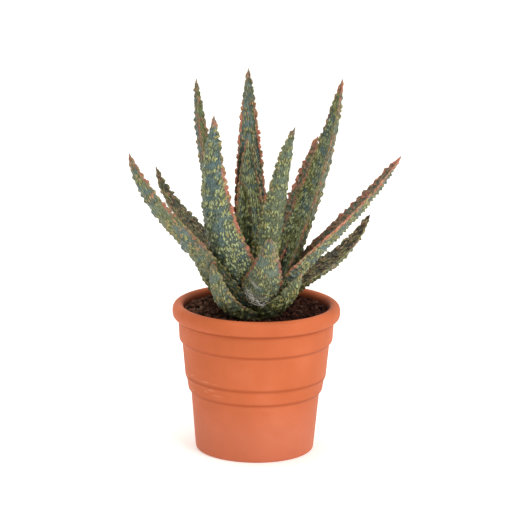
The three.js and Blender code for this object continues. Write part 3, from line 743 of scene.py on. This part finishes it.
def add_leaf(leaf, material):
    rng = np.random.default_rng(leaf_seed(leaf))
    looks = {**USUAL_LOOKS, **LOOKS[leaf["name"]]}
    grid = leaf_grid(leaf)
    loop = leaf_loop(leaf, grid, rng)
    low_spots = lay_spots(leaf, grid, looks["lower"], rng)
    top_spots = lay_spots(leaf, grid, looks["upper"], rng)
    height, mask, warmth, bands = [round_loop(a, b) for a, b in zip(low_spots, top_spots)]
    fade = smoothstep(2, 10, grid.along) * smoothstep(0, 8, leaf["length"] - grid.along)
    relief = (height + leaf_relief(leaf, grid, rng)) * fade[:, None]
    loop = loop + grid_normals(loop) * relief[..., None]
    coral = leaf_coral(looks, grid, rng)
    none = np.zeros_like(grid.over)
    horn = np.clip(0.35 + 0.4 * ripple(grid.along / 0.8, 0, rng.integers(1000)), 0, 0.6)[:, None]
    paints = dict(
        spot=np.maximum(mask, round_loop(none, none, horn, horn)),
        warmth=np.maximum(warmth, round_loop(none, none, 0.5, 0.5)),
        band=np.maximum(bands, round_loop(none, none, 1, 1)),
        coral=coral,
        ground=round_loop(none + looks["lower"][GROUND], none + looks["upper"][GROUND], 1, 1),
        olive=round_loop(none + looks["lower"][OLIVE], none + looks["upper"][OLIVE], 0.5, 0.5),
        bloom=round_loop(dusty_film(leaf, grid), none),
        rust=np.full_like(coral, looks["rust"]))
    apex = leaf_spine(leaf, np.array([float(leaf["length"])]))
    points = np.vstack([loop.reshape(-1, 3), apex])
    piece = add_object(leaf["name"] + "_skin", points, loop_faces(*loop.shape[:2]))
    for name, values in paints.items():
        set_values(piece, name, np.append(values.ravel(), values[-1, -1]))
    place = leaf_places(looks, grid, rng)
    attribute = piece.data.attributes.new("leaf_mm", "FLOAT_VECTOR", "POINT")
    attribute.data.foreach_set("vector", np.vstack([place, place[-1:]]).astype(np.float32).ravel())
    piece.data.materials.append(material)
    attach(piece, "root")
    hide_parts(leaf["name"])


def lower_face(leaf, along, over):
    """Points of the leaf's smooth lower face and the directions out of it."""
    _, across, upper = leaf_axes(leaf, along)
    width, channel, thickness = leaf_section(leaf, along)
    hollow = 1 - (2 * over / width) ** 2
    depth = channel * hollow + thickness * hollow ** 0.8
    points = leaf_spine(leaf, along) + over[:, None] * across - depth[:, None] * upper
    return points, -upper


def add_fibres():
    """Fine white fibres that lie over the film on the front leaf."""
    rng = np.random.default_rng(FIBRE_SEED)
    leaf = next(each for each in LEAVES if each["name"] == FILM_LEAF)
    points, faces = [], []
    for count, place, side, spread, heading in FIBRES:
        for _ in range(count):
            steps = int(rng.integers(8, 20))
            bend = math.radians(heading) + rng.normal(0, 0.4) + np.cumsum(rng.normal(0, 0.35, steps))
            step = 0.7 * rng.choice((-1, 1))
            along = np.clip(rng.normal(place, 0.7 * spread) + np.cumsum(step * np.cos(bend)), 5, 34)
            over = np.clip(rng.normal(side, spread) + np.cumsum(step * np.sin(bend)), -16, 13)
            line, outward = lower_face(leaf, along, over)
            lift = 1.0 + 0.9 * np.abs(np.sin(np.linspace(0, rng.uniform(3, 6), steps)))
            line = line + lift[:, None] * outward
            radius = rng.uniform(0.09, 0.17)
            aside = np.cross(np.gradient(line, axis=0), outward)
            aside /= np.linalg.norm(aside, axis=-1, keepdims=True)
            start = len(points)
            for p, a, b in zip(line, aside, outward):
                points += [p + radius * a, p + radius * b, p - radius * a, p - radius * b]
            faces += [tuple(start + k for k in face) for face in grid_faces(steps, 4, True)]
            last = start + 4 * (steps - 1)
            faces += [(start + 3, start + 2, start + 1, start), (last, last + 1, last + 2, last + 3)]
    fibres = add_object("film_fibres", points, faces)
    box = Paintbox("film_white")
    fibres.data.materials.append(box.finish("#e4e2da", 0.7))
    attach(fibres, "root")


# ---- Pot, soil and stem ----

def rounded(outline, radius, steps=4):
    """The same outline with each inner corner rounded off by a short curve."""
    points = [np.array(outline[0], float)]
    for before, corner, after in zip(outline, outline[1:], outline[2:]):
        before, corner, after = (np.array(p, float) for p in (before, corner, after))
        into, away = before - corner, after - corner
        start = corner + into * min(radius / np.linalg.norm(into), 0.45)
        end = corner + away * min(radius / np.linalg.norm(away), 0.45)
        for s in np.linspace(0, 1, steps):
            points.append((1 - s) ** 2 * start + 2 * s * (1 - s) * corner + s * s * end)
    points.append(np.array(outline[-1], float))
    return np.array(points)


def turned(outline, sides, centre=(0, 0), wobble=0.0, seed=1):
    """Points and faces of a solid of revolution whose outline starts and ends on the axis."""
    inner = outline[1:-1]
    angle = np.linspace(0, 2 * math.pi, sides, endpoint=False)
    radius, height = inner[:, 0, None], inner[:, 1, None]
    radius = radius + wobble * ripple(3 * np.cos(angle) + height / 14, 3 * np.sin(angle), seed)
    points = np.stack([centre[0] + radius * np.cos(angle), centre[1] + radius * np.sin(angle),
                       height + 0 * radius], -1).reshape(-1, 3)
    ends = [(*centre, outline[0][1]), (*centre, outline[-1][1])]
    foot, crown = len(points), len(points) + 1
    faces = grid_faces(len(inner), sides, True)
    last = (len(inner) - 1) * sides
    for j in range(sides):
        k = (j + 1) % sides
        faces += [(foot, k, j), (last + j, last + k, crown)]
    return np.vstack([points, ends]), faces


POT_OUTLINE = [
    (0, 0), (BASE_RADIUS - 1.6, 0), (BASE_RADIUS - 0.4, 0.7), (BASE_RADIUS, 2.2),
    (51.8, 46.4), (53.4, 49), (54.2, 49.8), (54.9, 54.6), (55.6, 59), (56.8, 60.6),
    (59.2, 87.2), (60, 88.8), (61.7, 90.6), (62.6, 105.6), (62.5, 107.8),
    (65.6, 108.1), (67.1, 109.9), (RIM_RADIUS, 113), (67.4, 116), (66.3, 118.4),
    (64.3, 119.8), (62, POT_HEIGHT), (60, 119.4), (58.8, 117.4), (58.5, 114),
    (58.2, 110), (46.4, 46), (43.2, FLOOR_THICKNESS), (0, FLOOR_THICKNESS)]


def add_pot(material):
    points, faces = turned(rounded(POT_OUTLINE, 1.1), POT_SIDES, wobble=0.09, seed=POT_SEED)
    pot = add_object("pot_body", points, faces)
    cutters = []
    for i in range(DRAIN_HOLES):
        angle = (i + 0.5) * 2 * math.pi / DRAIN_HOLES
        centre = (DRAIN_CIRCLE * math.cos(angle), DRAIN_CIRCLE * math.sin(angle))
        outline = np.array([(0, -3), (DRAIN_RADIUS, -3), (DRAIN_RADIUS, 9), (0, 9)], float)
        cutter = add_object(f"drain_{i}", *turned(outline, 32, centre))
        hole = pot.modifiers.new(f"drain_{i}", "BOOLEAN")
        hole.operation, hole.object, hole.solver = "DIFFERENCE", cutter, "EXACT"
        cutters.append(cutter)
    bpy.context.view_layer.update()
    cut = bpy.data.meshes.new_from_object(pot.evaluated_get(bpy.context.evaluated_depsgraph_get()))
    pot.modifiers.clear()
    pot.data = cut
    for cutter in cutters:
        bpy.data.objects.remove(cutter)
    cut.materials.clear()
    cut.materials.append(material)
    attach(pot, "root")
    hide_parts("pot")


def soil_height(x, y):
    """The part's soil surface."""
    out = np.minimum(1, np.hypot(x, y) / 58.2)
    lumps = (np.cos(0.31 * x + 0.8) * np.cos(0.27 * y - 1.9) + 0.6 * np.sin(0.53 * x - 0.41 * y)
             + 0.5 * np.cos(0.37 * x + 0.62 * y))
    return SOIL_EDGE - SOIL_DISH * (1 - out * out) + 0.45 * lumps * (1 - out ** 4)


def crumble(x, y, size):
    """Rough crumbs on the surface, one height for each point."""
    places = zip(np.ravel(x), np.ravel(y))
    values = [noise.fractal(Vector((px / size, py / size, 0)), 0.7, 2.1, 4) for px, py in places]
    return np.reshape(values, np.shape(x))


def lump_shape(rng, stretch):
    """A small rough crumb: a rounded block of 26 points with uneven sides."""
    cube = np.array([cell for cell in product((-1.0, 0.0, 1.0), repeat=3) if any(cell)])
    points = cube / np.linalg.norm(cube, axis=1, keepdims=True) ** 0.8
    points *= rng.uniform(0.7, 1.15, (26, 1)) * np.array(stretch)
    turn = Matrix.Rotation(rng.uniform(0, 6.28), 3, Vector(rng.normal(size=3)).normalized())
    return points @ np.array(turn)


def lump_faces():
    """Faces of the rounded block, four to each side."""
    cells = [cell for cell in product((-1, 0, 1), repeat=3) if any(cell)]
    number = {cell: i for i, cell in enumerate(cells)}
    faces = []
    for axis, end, a, b in product(range(3), (-1, 1), (-1, 0), (-1, 0)):
        corners = [(a, b), (a + 1, b), (a + 1, b + 1), (a, b + 1)][::end]
        faces.append(tuple(number[tuple(np.roll((end, p, q), axis))] for p, q in corners))
    return faces


def add_soil(material):
    rng = np.random.default_rng(SOIL_SEED)
    sides, rings = SOIL_SIDES, SOIL_RINGS
    angle = np.linspace(0, 2 * math.pi, sides, endpoint=False)
    radius = np.linspace(0.6, SOIL_RADIUS, rings)[:, None]
    x, y = radius * np.cos(angle), radius * np.sin(angle)
    fade = smoothstep(0, 2.5, SOIL_RADIUS - radius)
    z = soil_height(x, y) + 1.5 * crumble(x, y, 6) * fade + 0.7 * crumble(x, y, 2.2) * fade
    top = np.stack([x, y, z], -1)[::-1]
    wall = np.stack([0.78 * top[0, :, 0], 0.78 * top[0, :, 1], np.full(sides, FLOOR_THICKNESS + 0.4)], -1)
    points = np.vstack([wall, top.reshape(-1, 3)])
    faces = grid_faces(rings + 1, sides, True)
    faces += [tuple(range(sides - 1, -1, -1)), tuple(range(rings * sides, (rings + 1) * sides))]
    tones = [np.zeros(len(points))]
    clusters = [points]
    block = lump_faces()
    count = len(points)
    for i in range(CRUMBS):
        out, heading = SOIL_RADIUS * math.sqrt(rng.uniform(0.04, 0.97)), rng.uniform(0, 6.28)
        size = 0.45 + 1.7 * rng.uniform() ** 2.6
        flat = (1.7, 0.8, 0.35) if i % FLAT_CRUMBS == 0 else (1, 1, 0.8)
        px, py = out * math.cos(heading), out * math.sin(heading)
        if px < GREY_SIDE:
            size *= 1.35
        if out + size * 1.6 > SOIL_RADIUS:
            continue
        centre = np.array([px, py, float(soil_height(px, py)) + 0.35 + 0.35 * size])
        clusters.append(lump_shape(rng, flat) * size + centre)
        faces += [tuple(count + k for k in face) for face in block]
        count += 26
        tone = rng.uniform(0.2, 1.0) if i % PALE_CRUMBS == 0 else rng.uniform(0, 0.35)
        # Painted light and shade: crumbs on the left keep their pale tones, those to the right are dimmed.
        tones.append(np.full(26, tone if px < GREY_SIDE else 0.45 * tone))
    soil = add_object("soil_crumbs", np.vstack(clusters), faces)
    set_values(soil, "tone", np.concatenate(tones))
    soil.data.materials.append(material)
    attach(soil, "root")
    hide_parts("soil")


def add_stem(material):
    outline = [(0, STEM_FOOT), (0.8 * STEM_RADIUS, STEM_FOOT)]
    for height in range(SCARS_FROM, STEM_SHOULDER - SCAR_STEP, SCAR_STEP):
        outline += [(STEM_RADIUS - SCAR_DEPTH, height), (STEM_RADIUS, height + 0.7 * SCAR_STEP)]
    middle = (STEM_SHOULDER + STEM_TOP) / 2
    outline += [(0.76 * STEM_RADIUS, STEM_SHOULDER), (0.35 * STEM_RADIUS, middle), (0, STEM_TOP)]
    points, faces = turned(rounded(outline, 1.6), STEM_SIDES, PLANT, wobble=0.25, seed=STEM_SEED)
    stem = add_object("stem_sheaths", points, faces)
    stem.data.materials.append(material)
    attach(stem, "root")
    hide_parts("stem")


# ---- Stage ----

def add_stage():
    """A pale floor that curves up into a pale wall far behind."""
    box = Paintbox("stage_paper")
    paper = box.finish("#f6f5f2", 0.9, Emission_Color=(1, 1, 1, 1), Emission_Strength=0.25)
    bend, far, half = 400, 2700, 4500
    arc = [(far + bend * math.sin(a), bend - bend * math.cos(a)) for a in np.linspace(0, math.pi / 2, 13)]
    profile = [(-half, 0), *arc, (far + bend, half)]
    points = [(x, y, z) for y, z in profile for x in (-half, half)]
    floor = add_object("stage_floor", points, grid_faces(len(profile), 2, False))
    floor.data.materials.append(paper)


def add_lights():
    world = bpy.data.worlds.new("studio")
    world.use_nodes = True
    background = world.node_tree.nodes["Background"]
    background.inputs["Color"].default_value = WORLD_COLOR
    background.inputs["Strength"].default_value = WORLD_STRENGTH
    bpy.context.scene.world = world
    for name, (place, size, power) in LAMPS.items():
        light = bpy.data.lights.new(name, "AREA")
        light.size, light.energy = size, power
        lamp = bpy.data.objects.new(name, light)
        lamp.location = place
        lamp.rotation_euler = (LAMP_AIM - Vector(place)).to_track_quat("-Z", "Y").to_euler()
        bpy.context.scene.collection.objects.link(lamp)
    bpy.context.scene.view_settings.view_transform = "Standard"


def add_camera():
    rise, roll = math.radians(CAMERA_RISE), math.radians(CAMERA_ROLL)
    ahead = Vector((0, math.cos(rise), -math.sin(rise)))
    level = Vector((1, 0, 0))
    above = level.cross(ahead)
    right = math.cos(roll) * level + math.sin(roll) * above
    up = math.cos(roll) * above - math.sin(roll) * level
    data = bpy.data.cameras.new("camera")
    data.lens, data.sensor_width = CAMERA_LENS, CAMERA_SENSOR
    camera = bpy.data.objects.new("camera", data)
    camera.matrix_world = Matrix.Translation(CAMERA_AIM - CAMERA_DISTANCE * ahead) @ Matrix(
        (right, up, -ahead)).transposed().to_4x4()
    bpy.context.scene.collection.objects.link(camera)
    bpy.context.scene.camera = camera


# ---- Assembly ----

add_camera()
add_lights()
add_stage()
add_pot(clay_material())
add_soil(soil_material())
add_stem(sheath_material())
skin = leaf_material()
for each in LEAVES:
    add_leaf(each, skin)
add_fibres()
